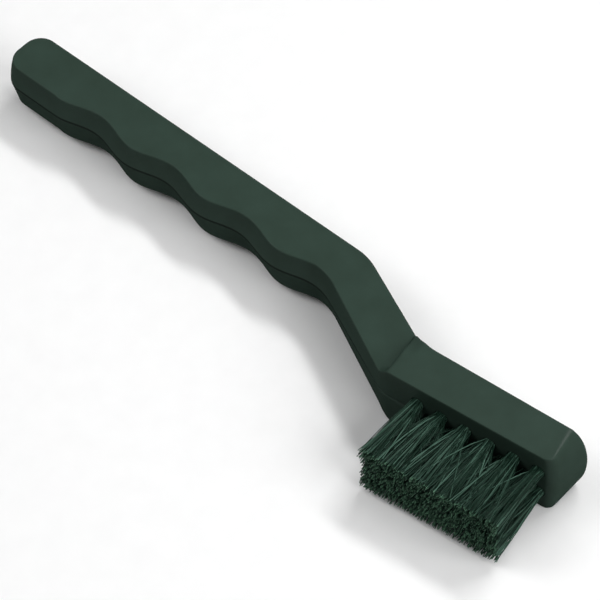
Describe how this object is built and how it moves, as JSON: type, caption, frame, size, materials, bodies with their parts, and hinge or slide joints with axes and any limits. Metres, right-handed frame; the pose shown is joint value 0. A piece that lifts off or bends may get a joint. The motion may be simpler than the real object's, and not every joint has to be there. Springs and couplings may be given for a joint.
{
  "type": "anti-static brush",
  "caption": "Hand brush with a finger-grip handle, a bent neck and a thicker head set with stiff conductive bristle tufts, for sweeping dust off electronics without static charge.",
  "frame": {"origin": "middle of the whole brush's box, on the plane of the head's lower flat side", "axes": "+X along the handle from the butt towards the head, -Y the way the bristles point, +Z out of the upper flat side, square to the mould's parting plane"},
  "size_m": [0.1718, 0.0412, 0.018],
  "materials": {
    "conductive_plastic": "satin injection-moulded carbon-filled polypropylene, black with a green-grey cast",
    "conductive_filament": "drawn carbon-filled nylon monofilament, dark with bright streaks along its length",
    "brass_wire": "drawn flat wire"
  },
  "bodies": {
    "root": {"handle_body": "conductive_plastic", "bristle_row_1": "conductive_filament", "bristle_row_2": "conductive_filament", "bristle_row_3": "conductive_filament", "tuft_anchor_01": "brass_wire", "tuft_anchor_02": "brass_wire", "tuft_anchor_03": "brass_wire", "tuft_anchor_04": "brass_wire", "tuft_anchor_05": "brass_wire", "tuft_anchor_06": "brass_wire", "tuft_anchor_07": "brass_wire", "tuft_anchor_08": "brass_wire", "tuft_anchor_09": "brass_wire", "tuft_anchor_10": "brass_wire", "tuft_anchor_11": "brass_wire", "tuft_anchor_12": "brass_wire", "tuft_anchor_13": "brass_wire", "tuft_anchor_14": "brass_wire", "tuft_anchor_15": "brass_wire", "tuft_anchor_16": "brass_wire", "tuft_anchor_17": "brass_wire"}
  },
  "joints": []
}
